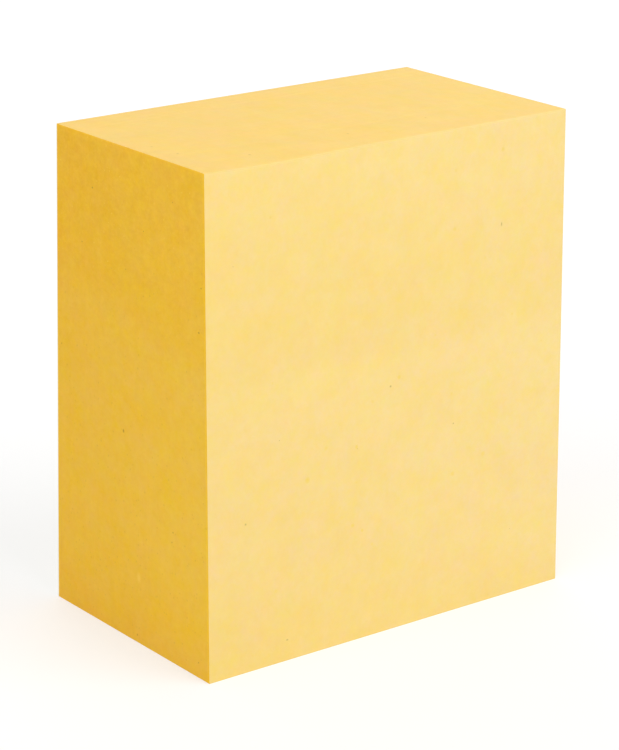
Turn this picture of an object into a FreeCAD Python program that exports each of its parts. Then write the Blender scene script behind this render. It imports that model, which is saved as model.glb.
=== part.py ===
import FreeCAD, Part
import os
import Sketcher

# A thick pad of sticky notes, standing on its glued edge with the top note facing the front.
# Every note carries a coat of adhesive along its lower edge, so the pad is thicker there than at
# its free edge. The top note stands plumb, and the back leans in towards it.
# A thin backing sheet lies on the adhesive of the last note.
# +X is to the right of the top note, -Y is where it faces, and +Z runs from the glued edge up to
# the free edge. The origin is the middle of the surface that the pad stands on.

# Each size is in millimetres, except the count.
SIZES = {
    "note_height": 76.0,           # from the glued edge to the free edge
    "note_width": 66.6,            # along the glued edge
    "side_cut_error": 0.38,        # how far each side cut has run in by the free edge
    "note_count": 400,
    "paper_thickness": 0.095,      # one note, away from its adhesive
    "adhesive_thickness": 0.008,   # what the adhesive adds to each note at the glued edge
    "backing_thickness": 0.12,
    "knife_roll": 0.35,            # radius that the cutting knife leaves on the top note's free edge
}

# Both thicknesses of the stack of notes, worked out from the sizes.
FREE_THICKNESS = "(sizes.note_count * sizes.paper_thickness)"
GLUED_THICKNESS = "(sizes.note_count * (sizes.paper_thickness + sizes.adhesive_thickness))"

# The two ends of a line, and the origin and axes of a sketch, as its constraints number them.
START, END = range(1, 3)
ACROSS_AXIS, UP_AXIS = range(-1, -3, -1)
ORIGIN = (ACROSS_AXIS, START)

# The four lines of an outline, in the order in which they are drawn.
BOTTOM, FAR_SIDE, TOP, NEAR_SIDE = range(4)


def add_sizes(doc):
    """Puts each driving dimension into the spreadsheet, beside its name."""
    sheet = doc.addObject("Spreadsheet::Sheet", "sizes")
    for row, (name, value) in enumerate(SIZES.items(), start=1):
        sheet.set("A" + str(row), name)
        sheet.set("B" + str(row), str(value))
        sheet.setAlias("B" + str(row), name)
    doc.recompute()


def add_sketch(body, name, role):
    """An empty sketch on one of the body's own origin planes."""
    sketch = body.newObject("Sketcher::SketchObject", name)
    plane = [feature for feature in body.Origin.OriginFeatures if feature.Role == role][0]
    sketch.AttachmentSupport = (plane, [""])
    sketch.MapMode = "FlatFace"
    return sketch


def add_joined_lines(sketch, side):
    """Four joined lines, drawn as a unit square to the right (1) or the left (-1) of the up axis."""
    corners = [FreeCAD.Vector(side * across, up, 0) for across, up in ((0, 0), (1, 0), (1, 1), (0, 1))]
    first = sketch.GeometryCount
    for line in range(4):
        sketch.addGeometry(Part.LineSegment(corners[line], corners[(line + 1) % 4]), False)
    for line in range(4):
        following = first + (line + 1) % 4
        sketch.addConstraint(Sketcher.Constraint("Coincident", first + line, END, following, START))


def add_outline(sketch):
    """A closed outline with a level foot and top, which the sketch's dimensions then stretch."""
    add_joined_lines(sketch, 1)
    sketch.addConstraint(Sketcher.Constraint("Horizontal", BOTTOM))
    sketch.addConstraint(Sketcher.Constraint("Horizontal", TOP))


def add_mirror_image(sketch):
    """The outline's mirror image, on the other side of the up axis."""
    mirror_first = sketch.GeometryCount
    add_joined_lines(sketch, -1)
    for line in range(4):
        image = mirror_first + line
        sketch.addConstraint(Sketcher.Constraint("Symmetric", line, START, image, START, UP_AXIS))


def add_dimension(sketch, kind, start, end, expression):
    """A distance from one point of the sketch to another, bound to the sizes."""
    distance = float(sketch.evalExpression(expression))
    index = sketch.addConstraint(Sketcher.Constraint(kind, *start, *end, distance))
    sketch.setExpression("Constraints[" + str(index) + "]", expression)


def draw_note_profile(sketch):
    """The stack seen from its right side: the top note plumb, the back leaning in."""
    add_outline(sketch)
    sketch.addConstraint(Sketcher.Constraint("Coincident", BOTTOM, START, *ORIGIN))
    sketch.addConstraint(Sketcher.Constraint("Vertical", NEAR_SIDE))
    add_dimension(sketch, "DistanceX", (BOTTOM, START), (BOTTOM, END), GLUED_THICKNESS)
    add_dimension(sketch, "DistanceX", (TOP, END), (TOP, START), FREE_THICKNESS)
    add_dimension(sketch, "DistanceY", ORIGIN, (TOP, END), "sizes.note_height")


def draw_backing_profile(sketch):
    """The backing sheet seen from the same side, flat against the leaning back of the stack."""
    add_outline(sketch)
    sketch.addConstraint(Sketcher.Constraint("PointOnObject", BOTTOM, START, ACROSS_AXIS))
    add_dimension(sketch, "DistanceX", ORIGIN, (BOTTOM, START), GLUED_THICKNESS)
    add_dimension(sketch, "DistanceX", ORIGIN, (TOP, END), FREE_THICKNESS)
    add_dimension(sketch, "DistanceX", (BOTTOM, START), (BOTTOM, END), "sizes.backing_thickness")
    add_dimension(sketch, "DistanceX", (TOP, END), (TOP, START), "sizes.backing_thickness")
    add_dimension(sketch, "DistanceY", ORIGIN, (TOP, END), "sizes.note_height")


def draw_offcuts(sketch):
    """What the two side cuts take away, seen from the front: the right one, and its mirror image."""
    add_outline(sketch)
    sketch.addConstraint(Sketcher.Constraint("PointOnObject", BOTTOM, START, ACROSS_AXIS))
    sketch.addConstraint(Sketcher.Constraint("Vertical", FAR_SIDE))
    add_dimension(sketch, "DistanceX", ORIGIN, (BOTTOM, START), "sizes.note_width / 2")
    add_dimension(sketch, "DistanceX", ORIGIN, (TOP, END), "sizes.note_width / 2 - sizes.side_cut_error")
    add_dimension(sketch, "DistanceX", ORIGIN, (BOTTOM, END), "sizes.note_width")
    add_dimension(sketch, "DistanceY", ORIGIN, (TOP, END), "sizes.note_height")
    add_mirror_image(sketch)


def add_sheets(doc, name, draw_profile):
    """A body of paper: its profile padded to the notes' width, then trimmed by the side cuts.

    The body's own origin is at the foot of the top note, so its placement centres the pad."""
    body = doc.addObject("PartDesign::Body", name)
    body.Label = name
    body.setExpression("Placement.Base.y", "-(" + GLUED_THICKNESS + " + sizes.backing_thickness) / 2")

    profile = add_sketch(body, name + "_profile", "YZ_Plane")
    draw_profile(profile)
    stack = body.newObject("PartDesign::Pad", name + "_stack")
    stack.Profile = profile
    stack.SideType = "Symmetric"
    stack.setExpression("Length", "sizes.note_width")

    offcuts = add_sketch(body, name + "_offcuts", "XZ_Plane")
    draw_offcuts(offcuts)
    side_cuts = body.newObject("PartDesign::Pocket", name + "_side_cuts")
    side_cuts.Profile = offcuts
    side_cuts.Type = "ThroughAll"
    side_cuts.SideType = "Symmetric"
    doc.recompute()
    return body


def top_note_free_edge(shape):
    """The name of the edge along the top of the front face: the one furthest up and to the front."""
    reach = [edge.CenterOfMass.z - edge.CenterOfMass.y for edge in shape.Edges]
    return "Edge" + str(reach.index(max(reach)) + 1)


def add_knife_roll(doc, body):
    """The knife presses the top note's free edge over before it cuts, which leaves it rounded."""
    trimmed = body.Tip
    roll = body.newObject("PartDesign::Fillet", "knife_roll")
    roll.Base = (trimmed, [top_note_free_edge(trimmed.Shape)])
    roll.setExpression("Radius", "sizes.knife_roll")
    doc.recompute()


def check_document(doc, bodies):
    """Stops if any object failed, or if a sub-part has no valid solid."""
    for item in doc.Objects:
        if "Invalid" in item.State or "Error" in item.State:
            raise RuntimeError(item.Name + " could not be built")
    for body in bodies:
        shape = body.Shape
        if shape.isNull() or not shape.isValid() or len(shape.Solids) != 1:
            raise RuntimeError(body.Label + " is not one valid solid")


doc = FreeCAD.newDocument("sticky_note_pad")
add_sizes(doc)
note_block = add_sheets(doc, "note_block", draw_note_profile)
add_knife_roll(doc, note_block)
backing_sheet = add_sheets(doc, "backing_sheet", draw_backing_profile)
doc.recompute()
check_document(doc, [note_block, backing_sheet])

os.makedirs("parts", exist_ok=True)
for body in (note_block, backing_sheet):
    body.Shape.exportStep("parts/" + body.Label + ".step")
    box = body.Shape.BoundBox
    print(body.Label, "volume", round(body.Shape.Volume, 3), "mm3")
    print("  x", round(box.XMin, 3), round(box.XMax, 3), "y", round(box.YMin, 3), round(box.YMax, 3))
    print("  z", round(box.ZMin, 3), round(box.ZMax, 3))
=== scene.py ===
import math

import bpy
import numpy as np
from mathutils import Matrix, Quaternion, Vector


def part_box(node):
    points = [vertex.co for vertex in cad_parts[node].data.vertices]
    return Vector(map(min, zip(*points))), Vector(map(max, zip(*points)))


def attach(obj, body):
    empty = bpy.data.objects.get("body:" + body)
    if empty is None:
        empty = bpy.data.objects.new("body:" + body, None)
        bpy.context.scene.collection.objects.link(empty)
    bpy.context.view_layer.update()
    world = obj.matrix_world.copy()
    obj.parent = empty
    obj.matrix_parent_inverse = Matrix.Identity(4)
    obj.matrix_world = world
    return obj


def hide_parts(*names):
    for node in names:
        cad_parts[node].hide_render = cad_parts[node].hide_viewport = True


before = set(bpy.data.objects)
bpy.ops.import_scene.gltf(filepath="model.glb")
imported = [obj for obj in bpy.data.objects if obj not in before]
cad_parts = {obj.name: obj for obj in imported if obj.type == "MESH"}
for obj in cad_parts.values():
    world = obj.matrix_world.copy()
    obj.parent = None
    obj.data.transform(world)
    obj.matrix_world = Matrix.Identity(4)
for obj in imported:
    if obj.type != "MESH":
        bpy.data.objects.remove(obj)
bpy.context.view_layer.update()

# A thick pad of yellow sticky notes, standing on its glued edge. Everything is in metres, in the
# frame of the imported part: +X to the right of the top note, -Y where it faces, +Z up.

MM = 0.001
SEED = 5

# The stack of notes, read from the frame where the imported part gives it.
NOTE_COUNT = 400
BLOCK_LOW, BLOCK_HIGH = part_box("note_block")
BACKING_LOW, BACKING_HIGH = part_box("backing_sheet")
FRONT = BLOCK_LOW.y
HEIGHT = BLOCK_HIGH.z
HALF_WIDTH = BLOCK_HIGH.x
GLUED_THICKNESS = BLOCK_HIGH.y - FRONT
FREE_THICKNESS = BACKING_LOW.y - FRONT
SIDE_CUT_ERROR = 0.38 * MM       # how far each side cut has run in by the free edge

# How finely the block is cut up: two rings to a note, and the spans along each edge. The spans
# get shorter towards the corners. With a share of 1 they would all be as long.
RINGS = 2 * NOTE_COUNT
SPANS = 25
EVEN_SHARE = 0.35

# The sides of the block, and its materials, each in the order in which they are numbered.
FOOT, RIGHT, TOP, LEFT, TOP_NOTE, LAST_NOTE = range(6)
FACE, END_CUT, SIDE_CUT = range(3)

# The sides of the block laid out flat: how much surface the map spans, and where its columns
# and its two rows start.
MAP_SIZE = 156 * MM
MAP_COLUMNS = {FACE: 1 * MM, SIDE_CUT: 69.5 * MM, END_CUT: 112.5 * MM}
MAP_ROWS = (1 * MM, 79 * MM)

# The top note's free edge is rounded, and less so towards its corners, over that distance.
ROLL_MIDDLE = 0.25 * MM
ROLL_CORNER = 0.08 * MM
ROLL_FADE = 2.5 * MM

# The top notes' free edge sits a little low in one place.
DIP_PLACE = -21 * MM             # along the edge, from its middle
DIP_WIDTH = 9 * MM               # how far it reaches to each side
DIP_DEPTH = 0.28 * MM
DIP_FADE = 1.2 * MM              # how far it reaches back into the stack

# The upper corners of each note are blunted: how far from the corner that starts, how deep the
# corner is worn, and the least and most that one note has of it.
CORNER_STEP = 0.09 * MM
CORNER_WEAR = 0.3 * CORNER_STEP
CORNER_SPREAD = (0.6, 1.4)

# The top note's face isn't quite flat. The sum of a few random waves presses it in, and the
# notes behind it less and less.
SAG_DEPTH = 0.05 * MM
SAG_WAVES = 6
SAG_TURNS = (60, 260)            # radians to a metre, at least and at most
SAG_SHIFT = 6.28                 # radians, at most
SAG_FADE = 3 * MM

# How far the notes' cut edges lie inside the block's box.
EDGE_SCATTER = 0.007 * MM        # one note beside the next
EDGE_DRIFT = 0.004 * MM          # a bundle of notes beside the next bundle
BUNDLE = 9                       # how many notes drift together
GROOVE_GLUED = 0.006 * MM        # between two notes, where the adhesive fills it
GROOVE_FREE = 0.013 * MM         # between two notes, at the free edge
STRAY_SHARE = 0.01               # the share of the notes that slipped before the cut
STRAY_DEPTH = 0.025 * MM         # how far they did, at most

# How many of the first notes' cut edges take another colour. On the end cuts it is the note's own,
# where the knife rolled them over, painted a little darker as shade against the light that the roll
# catches. On the side cuts it is a clearer one beside the top note, painted light as if it shone
# through the thin edges. The colour fades from the first count of notes to the second.
ROLLED_NOTES = (1.0, 3.0)
RIM_NOTES = (3.0, 6.0)

# Colours, as linear RGB.
NOTE_FACE = (0.970, 0.726, 0.276)
# Partly painted shade: the note's own colour on its rolled edge, a little darker than the face.
NOTE_RIM_SHADED = (0.950, 0.712, 0.262)
END_CUTS = (0.955, 0.677, 0.222)
# Partly painted shade: the same cut paper as the end cuts, painted a deeper gold for the shaded
# sides.
SHADED_SIDE_CUTS = (0.926, 0.558, 0.0545)
# Painted light: a lighter, clearer gold on the side cuts beside the top note.
SIDE_RIM_PAINTED_LIGHT = (0.965, 0.585, 0.044)
BACKING = (0.930, 0.850, 0.600)

# Noise: the size of its largest patches, the layers of detail in it, and how strong these are.
NOISE_MIDDLE = 0.5
WIDE_CLOUDS = (20 * MM, 1, 0.6)
CLOUDS = (5 * MM, 4, 0.86)
GRAIN = (1.2 * MM, 3, 0.85)
FACE_FIBRES = (0.5 * MM, 4, 0.7)
CUT_FIBRES = (0.3 * MM, 3, 0.7)
BACKING_FIBRES = (0.6 * MM, 3, 0.6)
FLECK_WANDER = (0.4 * MM, 1, 0.5)
STREAKS = (1.0, 4, 0.75)         # its patches are as long and as wide as one streak

# How clearly the paper's formation shows in red, green and blue: the wide clouds, the clouds of
# each channel by itself, and the grain of all three together.
FACE_FORMATION = ((0.015, 0.023, 0.12), (0.10, 0.15, 1.0), 0.042)
BACKING_FORMATION = ((0.01, 0.01, 0.02), (0.02, 0.02, 0.05), 0.05)
GRAIN_TINT = (0.50, 1.0, 1.7)    # how much of the grain each channel takes, on every paper

# The streaks on the cut edges.
STREAKS_TO_METRE = 60.0          # along a note
STREAKS_TO_NOTE = 0.35           # from one note to the next

# Above the adhesive the knife met loose paper. Between these heights the grain of the side cuts
# grows, and the flecks of all the cut edges grow from that share of their strength to all of it.
LOOSE_FROM = 40 * MM
LOOSE_TO = 68 * MM
FLECKS_GLUED = 0.3

# Flecks: their colour, the size of a cell, the share of the cells that has one, and its greatest
# radius.
FACE_FLECKS = ((0.57, 0.41, 0.13), 4.0 * MM, 0.8, 0.10 * MM)
SIDE_FLECKS = ((0.64, 0.37, 0.042), 1.0 * MM, 0.8, 0.21 * MM)
PALE_FLECKS = ((1.00, 0.66, 0.10), 1.2 * MM, 0.6, 0.28 * MM)
WARM_FLECKS = ((0.95, 0.70, 0.20), 3.0 * MM, 0.5, 0.5 * MM)
FLECK_BEND = 0.25 * MM           # how far a fleck's outline strays from round
FLECK_CORE = 0.4                 # the share of its radius that has its full colour

# The clearest specks in the paper, in groups of one colour. Each is a place in millimetres, with
# how far it reaches each way: across and up on the top note, from front to back and up on the
# left side cut, and across and from front to back along the free edge.
FACE_SPECKS = (
    ((0.66, 0.49, 0.15), (
        (20.7, 60.1, 0.16, 0.42),
        (-0.2, 38.8, 0.24, 0.21),
        (11.9, 30.5, 0.17, 0.15),
        (-20.5, 34.7, 0.11, 0.10),
        (-6.3, 30.4, 0.10, 0.10),
        (-26.6, 23.2, 0.21, 0.21),
        (-19.3, 3.3, 0.27, 0.16),
    )),
    ((0.94, 0.69, 0.16), (
        (-15.5, 27.5, 0.55, 0.60),
        (-6.5, 30.7, 0.35, 0.45),
        (-7.2, 18.5, 0.45, 0.40),
        (-5.4, 17.3, 0.30, 0.35),
        (1.4, 39.9, 0.40, 0.45),
    )),
)
SIDE_SPECKS = (
    ((0.60, 0.33, 0.035), (
        (17.7, 42.1, 0.17, 0.16),
        (8.0, 68.2, 0.27, 0.19),
        (1.0, 32.8, 0.28, 0.40),
        (-19.6, 59.4, 0.20, 0.15),
        (-18.9, 52.8, 0.25, 0.20),
        (-12.8, 70.3, 0.15, 0.12),
        (-5.3, 64.5, 0.15, 0.12),
        (11.2, 59.4, 0.19, 0.15),
        (-11.7, 20.7, 0.19, 0.17),
        (-11.4, 19.1, 0.15, 0.16),
        (-1.7, 1.2, 0.18, 0.22),
        (-17.9, 2.4, 0.18, 0.15),
    )),
    ((0.98, 0.62, 0.085), (
        (-2.4, 10.6, 0.65, 1.10),
    )),
)
TOP_SPECKS = (
    ((0.80, 0.56, 0.17), (
        (-21.6, -15.5, 0.24, 0.45),
        (-29.3, -8.9, 0.22, 0.42),
        (-2.9, -13.7, 0.20, 0.36),
        (-29.9, -3.2, 0.20, 0.34),
        (12.5, -12.5, 0.18, 0.30),
    )),
)
SPECK_DEPTH = 4 * MM             # how far into the stack a speck colours the paper
SPECK_CORE = 0.3                 # the share of its reach that has its full colour
BEYOND_SPECKS = 2.0              # a distance that no speck reaches, where its edge is at 1

# Painted light and shade: the colour is lighter and paler where a near lamp in front of the pad,
# above and to its right, would light it more. How each colour changes for each metre along X, Y and
# Z, as a share of itself.
FACE_LIGHT_SLOPES = ((0.0, 0.3, 2.2), (0.0, 0.0, 0.0), (0.8, 1.1, 1.0))
END_LIGHT_SLOPES = ((0.2, 0.6, 1.8), (-0.3, -0.5, -0.3), (0.0, 0.0, 0.0))
SIDE_LIGHT_SLOPES = ((0.0, 0.0, 0.0), (-0.8, -1.6, -2.6), (-0.2, -0.5, 0.5))

# It is a deeper yellow above a faint line round the pad. Near the foot it is deeper and darker,
# painted shade; it is paler towards the top of the face, painted light; and it is paler along the
# free edge, a painted highlight. Each change is by height: where it starts, where it is complete,
# and the share of each channel that it leaves.
FACE_CHANGES = (
    (42 * MM, 47 * MM, (0.988, 0.971, 0.905)),
    (55 * MM, 78 * MM, (1.003, 1.013, 1.075)),
    (20 * MM, 0 * MM, (0.995, 0.995, 0.90)),
    (6 * MM, 0 * MM, (0.99, 0.99, 0.98)),
    (74.8 * MM, 76 * MM, (1.0, 1.015, 1.07)),
)
SIDE_LINE = ((44.5 * MM, 49.5 * MM, (0.996, 0.968, 0.72)),)
SIDE_LIGHT_CHANGES = (
    (20 * MM, 0 * MM, (0.992, 0.955, 0.87)),
    (74.7 * MM, 76 * MM, (1.06, 1.05, 1.0)),
)
SIDE_CLIMB = 0.18                # how far the faint line climbs on the side cuts, to a metre back

# The surface of the paper, with its fibres in relief.
FACE_ROUGHNESS = 0.88
CUT_ROUGHNESS = 0.92
BACKING_ROUGHNESS = 0.62
SHEEN = 0.25
RELIEF = 0.02 * MM
RELIEF_STRENGTH = 0.35
PARTING_RELIEF = 0.5             # the line between two notes, as a share of the fibres' relief

# The light. Each sun is a direction towards it, its level, and how many degrees wide it looks.
SUNS = (
    ("key", (0.35, -0.80, 0.70), 0.42, 60),
    ("fill", (-0.80, -0.35, 0.35), 0.38, 70),
    ("back", (0.45, 0.85, 0.15), 0.45, 70),
)
SKY = 0.45
FLOOR_REACH = 6.0
FLOOR_BOUNCE = 0.72              # how much light the floor throws back at the pad
FLOOR_WHITE = 0.56               # how much of the floor's white is lit, for the camera
FLOOR_GLOW = 0.50                # and how much shines by itself

# The camera, solved from the nine edges of the pad that the photograph shows. Its angles are in
# degrees, and the lens and its sensor in millimetres.
CAMERA_PLACE = (-0.24283, -0.32675, 0.16891)
AZIMUTH = -36.649
ELEVATION = 18.192
ROLL = 0.160
LENS = 134.170
SENSOR = 36.0
NEAREST_SEEN = 0.01


def empty_material(name):
    """An empty node material, and its node tree."""
    material = bpy.data.materials.new(name)
    material.use_nodes = True
    material.node_tree.nodes.clear()
    return material, material.node_tree


def fill_inputs(tree, node, inputs):
    """Each input of the node is either linked to a socket or set to a value."""
    for key, value in inputs.items():
        if isinstance(value, bpy.types.NodeSocket):
            tree.links.new(value, node.inputs[key])
        else:
            node.inputs[key].default_value = value


def add_node(tree, kind, inputs, **settings):
    node = tree.nodes.new(kind)
    for name, value in settings.items():
        setattr(node, name, value)
    fill_inputs(tree, node, inputs)
    return node


def add_math(tree, operation, *values):
    inputs = dict(enumerate(values))
    return add_node(tree, "ShaderNodeMath", inputs, operation=operation).outputs[0]


def add_vector_math(tree, operation, *vectors):
    inputs = dict(enumerate(vectors))
    return add_node(tree, "ShaderNodeVectorMath", inputs, operation=operation).outputs[0]


def add_length(tree, vector):
    node = add_node(tree, "ShaderNodeVectorMath", {0: vector}, operation="LENGTH")
    return node.outputs["Value"]


def add_noise(tree, vector, size, detail, roughness):
    """Cloudy noise whose largest patches are about the given size."""
    inputs = {"Vector": vector, "Scale": 1 / size, "Detail": detail, "Roughness": roughness}
    return add_node(tree, "ShaderNodeTexNoise", inputs)


def add_ramp(tree, value, start, end, low=0.0, high=1.0, shape="LINEAR"):
    """It goes from low to high as the value goes from start to end, and is level outside."""
    inputs = {"Value": value, "From Min": start, "From Max": end, "To Min": low, "To Max": high}
    return add_node(tree, "ShaderNodeMapRange", inputs, interpolation_type=shape).outputs["Result"]


def add_mix(tree, amount, first, second):
    """One colour where amount is 0, and the other where it is 1."""
    node = tree.nodes.new("ShaderNodeMix")
    node.data_type = "RGBA"
    fill_inputs(tree, node, {0: amount, 6: first, 7: second})
    return node.outputs[2]


def object_place(tree):
    return tree.nodes.new("ShaderNodeTexCoord").outputs["Object"]


def same_in_all(tree, value):
    """The same value in all three channels."""
    return add_node(tree, "ShaderNodeCombineXYZ", {0: value, 1: value, 2: value}).outputs[0]


def separate_axes(tree, vector):
    return add_node(tree, "ShaderNodeSeparateXYZ", {0: vector}).outputs


def add_flecks(tree, place, colour, fleck, cell, share, radius, strength=1.0):
    """Sparse flecks of another colour at random places, the ends of stray fibres in the pulp."""
    wander = add_noise(tree, place, *FLECK_WANDER)
    bent = add_vector_math(tree, "MULTIPLY_ADD", wander.outputs["Color"], (FLECK_BEND,) * 3, place)
    inputs = {"Vector": bent, "Scale": 1 / cell, "Randomness": 1.0}
    cells = add_node(tree, "ShaderNodeTexVoronoi", inputs)
    random = add_node(tree, "ShaderNodeSeparateColor", {"Color": cells.outputs["Color"]})
    reach = add_ramp(tree, random.outputs["Red"], 1 - share, 1.0, high=radius / cell)
    core = add_math(tree, "MULTIPLY", reach, FLECK_CORE)
    amount = add_ramp(tree, cells.outputs["Distance"], reach, core, high=strength)
    return add_mix(tree, amount, colour, (*fleck, 1))


def add_specks(tree, place, colour, axes, specks):
    """Single specks of other colours, on the face that runs along the two axes."""
    for fleck, places in specks:
        nearest = BEYOND_SPECKS
        for first, second, first_reach, second_reach in places:
            middle = [-HALF_WIDTH, FRONT, HEIGHT]
            middle[axes[0]], middle[axes[1]] = first * MM, second * MM
            reach = [SPECK_DEPTH] * 3
            reach[axes[0]], reach[axes[1]] = first_reach * MM, second_reach * MM
            offset = add_vector_math(tree, "SUBTRACT", place, middle)
            distance = add_length(tree, add_vector_math(tree, "DIVIDE", offset, reach))
            nearest = add_math(tree, "MINIMUM", distance, nearest)
        amount = add_ramp(tree, nearest, 1.0, SPECK_CORE)
        colour = add_mix(tree, amount, colour, (*fleck, 1))
    return colour


def add_formation(tree, place, colour, wide, clouds, grain):
    """The colour, clouded by the paper's formation. The last three say how clearly: wide and
    clouds by channel, and grain for all of them together."""
    noise = add_noise(tree, place, *WIDE_CLOUDS)
    stray = add_math(tree, "SUBTRACT", noise.outputs["Fac"], NOISE_MIDDLE)
    tint = add_vector_math(tree, "MULTIPLY_ADD", same_in_all(tree, stray), wide, (1, 1, 1))
    noise = add_noise(tree, place, *CLOUDS)
    stray = add_vector_math(tree, "SUBTRACT", noise.outputs["Color"], (NOISE_MIDDLE,) * 3)
    tint = add_vector_math(tree, "MULTIPLY_ADD", stray, clouds, tint)
    noise = add_noise(tree, place, *GRAIN)
    stray = add_math(tree, "SUBTRACT", noise.outputs["Fac"], NOISE_MIDDLE)
    scaled = add_math(tree, "MULTIPLY", stray, grain)
    tint = add_vector_math(tree, "MULTIPLY_ADD", same_in_all(tree, scaled), GRAIN_TINT, tint)
    return add_vector_math(tree, "MULTIPLY", tint, colour)


def add_slopes(tree, place, colour, slopes):
    """The colour, changing evenly over the whole pad along each axis: painted light and shade."""
    centred = add_vector_math(tree, "SUBTRACT", place, (0, 0, HEIGHT / 2))
    factor = (1, 1, 1)
    for distance, slope in zip(separate_axes(tree, centred), slopes):
        factor = add_vector_math(tree, "MULTIPLY_ADD", same_in_all(tree, distance), slope, factor)
    return add_vector_math(tree, "MULTIPLY", colour, factor)


def add_changes(tree, level, colour, changes):
    """The colour, with each of the changes that depend on the height."""
    for start, end, share in changes:
        amount = add_ramp(tree, level, start, end, shape="SMOOTHSTEP")
        factor = add_mix(tree, amount, (1, 1, 1, 1), (*share, 1))
        colour = add_vector_math(tree, "MULTIPLY", colour, factor)
    return colour


def finish_paper(tree, colour, height, roughness):
    """A matt uncoated surface with that colour and relief."""
    relief = {"Strength": RELIEF_STRENGTH, "Distance": RELIEF, "Height": height}
    bump = add_node(tree, "ShaderNodeBump", relief)
    surface = add_node(tree, "ShaderNodeBsdfPrincipled", {
        "Base Color": colour,
        "Roughness": roughness,
        "Specular IOR Level": SHEEN,
        "Normal": bump.outputs[0],
    })
    add_node(tree, "ShaderNodeOutputMaterial", {"Surface": surface.outputs[0]})


def note_face_material():
    """The top note's bare face: pale and softly mottled, with a few flecks and specks."""
    material, tree = empty_material("note_face")
    place = object_place(tree)
    colour = add_formation(tree, place, NOTE_FACE, *FACE_FORMATION)
    # Painted light and shade evenly over the pad, then by height a faint line with painted light
    # and shade.
    colour = add_slopes(tree, place, colour, FACE_LIGHT_SLOPES)
    colour = add_changes(tree, separate_axes(tree, place)[2], colour, FACE_CHANGES)
    colour = add_flecks(tree, place, colour, *WARM_FLECKS)
    colour = add_flecks(tree, place, colour, *FACE_FLECKS)
    colour = add_specks(tree, place, colour, (0, 2), FACE_SPECKS)
    fibres = add_noise(tree, place, *FACE_FIBRES)
    finish_paper(tree, colour, fibres.outputs["Fac"], FACE_ROUGHNESS)
    return material


def cut_edge_material(
    name, axes, base, first_colour, first_notes, wide, clouds, grain, stretch, slopes,
    climbing, changes, streaks, flecks, specks,
):
    """The cut edges of the notes, on the face that runs along the two axes.

    The first notes take another colour, which fades into the base. The formation is stretched
    along Y, and its grain goes from one strength at the glued edge to another at the free edge.
    Streaks run along each note, and a fine line parts it from the next."""
    material, tree = empty_material(name)
    place = object_place(tree)
    x, y, z = separate_axes(tree, place)
    sheet = add_node(tree, "ShaderNodeAttribute", {}, attribute_name="sheet").outputs["Fac"]
    loose = add_ramp(tree, z, LOOSE_FROM, LOOSE_TO)

    # The first notes' colour: painted shade on the end cuts' rolled edge, painted light on the side
    # cuts.
    fade = add_ramp(tree, sheet, *first_notes, shape="SMOOTHSTEP")
    paper = add_mix(tree, fade, (*first_colour, 1), (*base, 1))
    stretched = add_vector_math(tree, "MULTIPLY", place, (1.0, stretch, 1.0))
    strength = add_ramp(tree, loose, 0.0, 1.0, *grain)
    colour = add_formation(tree, stretched, paper, wide, clouds, strength)
    # Painted light and shade, evenly over the pad.
    colour = add_slopes(tree, place, colour, slopes)

    # The faint line climbs towards the back. The other changes, painted light and shade, are level.
    depth = add_math(tree, "SUBTRACT", y, FRONT)
    level = add_math(tree, "MULTIPLY_ADD", depth, -SIDE_CLIMB, z)
    colour = add_changes(tree, level, colour, climbing)
    colour = add_changes(tree, z, colour, changes)

    # Along a note the streaks are long. From note to note they change at once.
    across = add_math(tree, "MULTIPLY", sheet, STREAKS_TO_NOTE)
    long_x = add_math(tree, "MULTIPLY", x, STREAKS_TO_METRE)
    long_z = add_math(tree, "MULTIPLY", z, STREAKS_TO_METRE)
    lines = add_node(tree, "ShaderNodeCombineXYZ", {0: long_x, 1: across, 2: long_z}).outputs[0]
    streak = add_noise(tree, lines, *STREAKS)
    stray = add_math(tree, "SUBTRACT", streak.outputs["Fac"], NOISE_MIDDLE)
    gain = add_math(tree, "MULTIPLY_ADD", stray, streaks, 1.0)
    colour = add_vector_math(tree, "MULTIPLY", colour, gain)

    shown = add_ramp(tree, loose, 0.0, 1.0, FLECKS_GLUED)
    for kind in flecks:
        colour = add_flecks(tree, place, colour, *kind, shown)
    colour = add_specks(tree, place, colour, axes, specks)

    # A shallow parting line between notes.
    ridge = add_math(tree, "PINGPONG", add_math(tree, "FRACT", sheet), 0.5)
    fibres = add_noise(tree, place, *CUT_FIBRES)
    height = add_math(tree, "MULTIPLY_ADD", ridge, PARTING_RELIEF, fibres.outputs["Fac"])
    finish_paper(tree, colour, height, CUT_ROUGHNESS)
    return material


def backing_material():
    """Smooth pale release paper."""
    material, tree = empty_material("backing_paper")
    place = object_place(tree)
    colour = add_formation(tree, place, BACKING, *BACKING_FORMATION)
    fibres = add_noise(tree, place, *BACKING_FIBRES)
    finish_paper(tree, colour, fibres.outputs["Fac"], BACKING_ROUGHNESS)
    return material


def edge_offsets(random):
    """How far inside the box each ring lies along one edge of the block, for every ring."""
    notes = EDGE_SCATTER * np.abs(random.standard_normal(NOTE_COUNT))
    bundles = random.standard_normal(NOTE_COUNT + BUNDLE - 1)
    drift = np.convolve(bundles, np.ones(BUNDLE) / math.sqrt(BUNDLE), "valid")
    notes += EDGE_DRIFT * np.abs(drift)
    strays = random.random_sample(NOTE_COUNT) < STRAY_SHARE
    notes[strays] += STRAY_DEPTH * random.random_sample(strays.sum())
    partings = np.maximum(np.append(notes[0], notes), np.append(notes, notes[-1]))
    rings = np.empty(RINGS + 1)
    rings[0::2] = partings
    rings[1::2] = notes
    return rings


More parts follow.
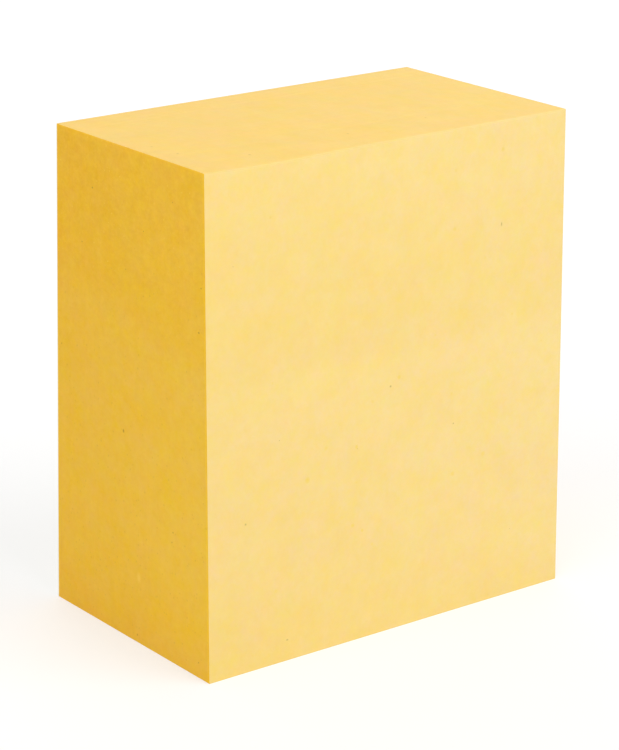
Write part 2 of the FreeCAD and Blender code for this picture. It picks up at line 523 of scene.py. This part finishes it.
def spaced(count, length):
    """From 0 to 1, closer together towards both ends, with a last step for the worn corner."""
    even = np.linspace(0, 1, count - 1)
    eased = EVEN_SHARE * even + (1 - EVEN_SHARE) * (1 - np.cos(math.pi * even)) / 2
    step = CORNER_STEP / length
    return np.concatenate([[0], step + (1 - 2 * step) * eased, [1]])


def rounded(depth, across):
    """How far the knife's rounding lowers the free edge, at a depth behind the front."""
    from_corner = HALF_WIDTH * (1 - np.abs(across))
    radius = ROLL_CORNER + (ROLL_MIDDLE - ROLL_CORNER) * (1 - np.exp(-from_corner / ROLL_FADE))
    inside = np.clip(radius - depth, 0, radius)
    return radius - np.sqrt(radius ** 2 - inside ** 2)


def dip(depth, across):
    """How far the free edge sits low, at a depth behind the front."""
    near = np.exp(-((across * HALF_WIDTH - DIP_PLACE) / DIP_WIDTH) ** 2)
    return DIP_DEPTH * near * np.exp(-depth / DIP_FADE)


class Block:
    """Places any point of the block: across from -1 to 1, up from 0 to 1, on a given ring."""

    def __init__(self):
        random = np.random.RandomState(SEED)
        self.left, self.right, self.foot, self.top = (edge_offsets(random) for _ in range(4))
        wear = CORNER_WEAR * random.uniform(*CORNER_SPREAD, (2, RINGS + 1))
        self.left_wear, self.right_wear = wear
        self.waves = [
            (random.uniform(*SAG_TURNS), random.uniform(*SAG_TURNS), random.uniform(0, SAG_SHIFT))
            for _ in range(SAG_WAVES)
        ]

    def place(self, across, up, ring):
        share = ring / RINGS
        parting = (ring % 2 == 0) & (ring > 0) & (ring < RINGS)
        groove = parting * (GROOVE_GLUED + (GROOVE_FREE - GROOVE_GLUED) * up)

        depth = share * FREE_THICKNESS
        low = self.foot[ring] + groove
        high = HEIGHT - self.top[ring] - groove - rounded(depth, across) - dip(depth, across)
        corner = (np.abs(across) == 1) & (up == 1)
        wear = corner * np.where(across < 0, self.left_wear[ring], self.right_wear[ring])
        z = low + (high - wear - low) * up

        inset = np.where(across < 0, self.left[ring], self.right[ring]) + groove + wear
        x = across * (HALF_WIDTH - SIDE_CUT_ERROR * z / HEIGHT - inset)

        thickness = GLUED_THICKNESS + (FREE_THICKNESS - GLUED_THICKNESS) * z / HEIGHT
        sag = sum(np.sin(a * x + b * z + c) for a, b, c in self.waves) / SAG_WAVES
        sag = SAG_DEPTH * (1 + sag) / 2 * np.exp(-depth / SAG_FADE)
        y = FRONT + share * thickness + sag
        return np.stack([x, y, z], -1)


def add_texture_map(mesh, points, quads, sides):
    """Lays the six sides of the block out flat in two rows, for the exported model's textures."""
    x, y, z = (points[quads] / MAP_SIZE).transpose(2, 0, 1)
    x_across, y_across = x + HALF_WIDTH / MAP_SIZE, y - FRONT / MAP_SIZE
    layout = {
        FOOT: (y_across, x_across, END_CUT, 1),
        RIGHT: (y_across, z, SIDE_CUT, 1),
        TOP: (y_across, x_across, END_CUT, 0),
        LEFT: (y_across, z, SIDE_CUT, 0),
        TOP_NOTE: (x_across, z, FACE, 0),
        LAST_NOTE: (x_across, z, FACE, 1),
    }
    flat = np.empty((len(quads), 4, 2))
    for side, (u, v, kind, row) in layout.items():
        chosen = sides == side
        flat[chosen, :, 0] = u[chosen] + MAP_COLUMNS[kind] / MAP_SIZE
        flat[chosen, :, 1] = v[chosen] + MAP_ROWS[row] / MAP_SIZE
    layer = mesh.uv_layers.new(name="OFBake")
    layer.data.foreach_set("uv", flat.ravel().astype(np.float32))


def face_quads(border, inside):
    """The quads of a face, from the points of the ring round it and of the rows inside it."""
    grid = np.empty((SPANS + 1, SPANS + 1), int)
    grid[0, :-1] = border[:SPANS]
    grid[:-1, -1] = border[SPANS:2 * SPANS]
    grid[-1, :0:-1] = border[2 * SPANS:3 * SPANS]
    grid[:0:-1, 0] = border[3 * SPANS:]
    grid[1:-1, 1:-1] = inside
    corners = [grid[:-1, :-1], grid[:-1, 1:], grid[1:, 1:], grid[1:, :-1]]
    return np.stack(corners, -1).reshape(-1, 4)


def block_mesh():
    """The stack of notes as one closed mesh, with each note's edge cut by itself."""
    block = Block()
    across = 2 * spaced(SPANS, 2 * HALF_WIDTH) - 1
    up = spaced(SPANS, HEIGHT)

    # Once round the block: along the foot, up the right side, back along the top, down the left.
    low, high = np.zeros(SPANS), np.ones(SPANS)
    round_across = np.concatenate([across[:-1], high, across[:0:-1], -high])
    round_up = np.concatenate([low, up[:-1], high, up[:0:-1]])
    count = len(round_across)
    ring = np.repeat(np.arange(RINGS + 1), count)
    points = [block.place(np.tile(round_across, RINGS + 1), np.tile(round_up, RINGS + 1), ring)]
    sheets = [ring / 2]

    here = np.arange(count)
    after = np.roll(here, -1)
    strip = np.stack([here, after, after + count, here + count], -1)
    quads = [strip + step * count for step in range(RINGS)]
    kinds = [np.tile(np.repeat([END_CUT, SIDE_CUT, END_CUT, SIDE_CUT], SPANS), RINGS)]
    sides = [np.tile(np.repeat([FOOT, RIGHT, TOP, LEFT], SPANS), RINGS)]

    # The two faces share their borders with the first and last rings, and face opposite ways.
    inner_up, inner_across = np.meshgrid(up[1:-1], across[1:-1], indexing="ij")
    total = len(ring)
    for side, face_ring in ((TOP_NOTE, 0), (LAST_NOTE, RINGS)):
        inside = total + np.arange(inner_up.size).reshape(inner_up.shape)
        total += inner_up.size
        ring_of_face = np.full(inner_up.size, face_ring)
        points.append(block.place(inner_across.ravel(), inner_up.ravel(), ring_of_face))
        sheets.append(ring_of_face / 2)
        corners = face_quads(here + face_ring * count, inside)
        quads.append(corners if side == TOP_NOTE else corners[:, ::-1])
        kinds.append(np.full(len(corners), FACE))
        sides.append(np.full(len(corners), side))

    points, quads = np.concatenate(points), np.concatenate(quads)
    mesh = bpy.data.meshes.new("notes")
    mesh.from_pydata(points.tolist(), [], quads.tolist())
    mesh.polygons.foreach_set("material_index", np.concatenate(kinds).astype(np.int32))
    sheet = mesh.attributes.new("sheet", "FLOAT", "POINT")
    sheet.data.foreach_set("value", np.concatenate(sheets).astype(np.float32))
    add_texture_map(mesh, points, quads, np.concatenate(sides))
    return mesh


def add_notes():
    """The stack of notes, with its materials in the order of their numbers."""
    notes = bpy.data.objects.new("notes", block_mesh())
    bpy.context.scene.collection.objects.link(notes)
    notes.data.materials.append(note_face_material())
    # The end cuts: painted light and shade evenly over the pad, and painted shade on the rolled
    # edge.
    notes.data.materials.append(cut_edge_material(
        "end_cuts",
        axes=(0, 1),
        base=END_CUTS,
        first_colour=NOTE_RIM_SHADED,
        first_notes=ROLLED_NOTES,
        wide=(0.014, 0.014, -0.07),
        clouds=(0.13, 0.14, 0.75),
        grain=(0.03, 0.03),
        stretch=0.7,
        slopes=END_LIGHT_SLOPES,
        climbing=(),
        changes=(),
        streaks=0.025,
        flecks=(FACE_FLECKS,),
        specks=TOP_SPECKS,
    ))
    # The side cuts: painted shade in their deeper gold and near the foot, painted light beside the
    # top note and along the free edge.
    notes.data.materials.append(cut_edge_material(
        "side_cuts",
        axes=(1, 2),
        base=SHADED_SIDE_CUTS,
        first_colour=SIDE_RIM_PAINTED_LIGHT,
        first_notes=RIM_NOTES,
        wide=(0.022, 0.039, 0.35),
        clouds=(0.09, 0.18, 2.2),
        grain=(0.165, 0.37),
        stretch=0.75,
        slopes=SIDE_LIGHT_SLOPES,
        climbing=SIDE_LINE,
        changes=SIDE_LIGHT_CHANGES,
        streaks=0.01,
        flecks=(SIDE_FLECKS, PALE_FLECKS),
        specks=SIDE_SPECKS,
    ))
    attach(notes, "root")
    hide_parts("note_block")


def dress_backing():
    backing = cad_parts["backing_sheet"]
    backing.data.materials.clear()
    backing.data.materials.append(backing_material())


def seen_directly(tree):
    """1 for what the camera sees, also in a shiny surface, and 0 for what only lights the pad."""
    path = tree.nodes.new("ShaderNodeLightPath")
    return add_math(tree, "MAXIMUM", path.outputs["Is Camera Ray"], path.outputs["Is Glossy Ray"])


def add_floor():
    """A wide white floor. The camera sees it white where it is fully lit, with the pad's shadow."""
    mesh = bpy.data.meshes.new("floor")
    corners = [
        (-FLOOR_REACH, -FLOOR_REACH, 0),
        (FLOOR_REACH, -FLOOR_REACH, 0),
        (FLOOR_REACH, FLOOR_REACH, 0),
        (-FLOOR_REACH, FLOOR_REACH, 0),
    ]
    mesh.from_pydata(corners, [], [(0, 1, 2, 3)])
    floor = bpy.data.objects.new("floor", mesh)
    bpy.context.scene.collection.objects.link(floor)
    material, tree = empty_material("floor")
    bounce = add_node(tree, "ShaderNodeBsdfDiffuse", {"Color": (FLOOR_BOUNCE,) * 3 + (1,)})
    white = add_node(tree, "ShaderNodeBsdfDiffuse", {"Color": (FLOOR_WHITE,) * 3 + (1,)})
    lift = add_node(tree, "ShaderNodeEmission", {"Color": (1, 1, 1, 1), "Strength": FLOOR_GLOW})
    lifted = add_node(tree, "ShaderNodeAddShader", {0: white.outputs[0], 1: lift.outputs[0]})
    inputs = {0: seen_directly(tree), 1: bounce.outputs[0], 2: lifted.outputs[0]}
    surface = add_node(tree, "ShaderNodeMixShader", inputs)
    add_node(tree, "ShaderNodeOutputMaterial", {"Surface": surface.outputs[0]})
    mesh.materials.append(material)


def add_light():
    """A soft white sky, which the camera sees as plain white, and three broad lamps."""
    world = bpy.data.worlds.new("studio")
    bpy.context.scene.world = world
    world.use_nodes = True
    tree = world.node_tree
    tree.nodes.clear()
    sky = add_node(tree, "ShaderNodeBackground", {"Color": (1, 1, 1, 1), "Strength": SKY})
    white = add_node(tree, "ShaderNodeBackground", {"Color": (1, 1, 1, 1), "Strength": 1.0})
    inputs = {0: seen_directly(tree), 1: sky.outputs[0], 2: white.outputs[0]}
    mix = add_node(tree, "ShaderNodeMixShader", inputs)
    add_node(tree, "ShaderNodeOutputWorld", {"Surface": mix.outputs[0]})

    for name, towards, level, width in SUNS:
        lamp = bpy.data.lights.new(name, "SUN")
        lamp.energy = math.pi * level
        lamp.angle = math.radians(width)
        sun = bpy.data.objects.new(name, lamp)
        sun.rotation_mode = "QUATERNION"
        sun.rotation_quaternion = Vector(towards).to_track_quat("Z", "Y")
        bpy.context.scene.collection.objects.link(sun)


def add_camera():
    """Aimed by its azimuth and elevation, and then turned a little about its own axis."""
    camera = bpy.data.objects.new("camera", bpy.data.cameras.new("camera"))
    camera.data.lens = LENS
    camera.data.sensor_width = SENSOR
    camera.data.clip_start = NEAREST_SEEN
    azimuth, elevation = math.radians(AZIMUTH), math.radians(ELEVATION)
    back = Vector((
        math.sin(azimuth) * math.cos(elevation),
        -math.cos(azimuth) * math.cos(elevation),
        math.sin(elevation),
    ))
    roll = Quaternion((0, 0, 1), -math.radians(ROLL))
    camera.rotation_mode = "QUATERNION"
    camera.rotation_quaternion = (-back).to_track_quat("-Z", "Y") @ roll
    camera.location = CAMERA_PLACE
    bpy.context.scene.collection.objects.link(camera)
    bpy.context.scene.camera = camera


add_notes()
dress_backing()
add_floor()
add_light()
add_camera()
bpy.context.scene.view_settings.view_transform = "Standard"
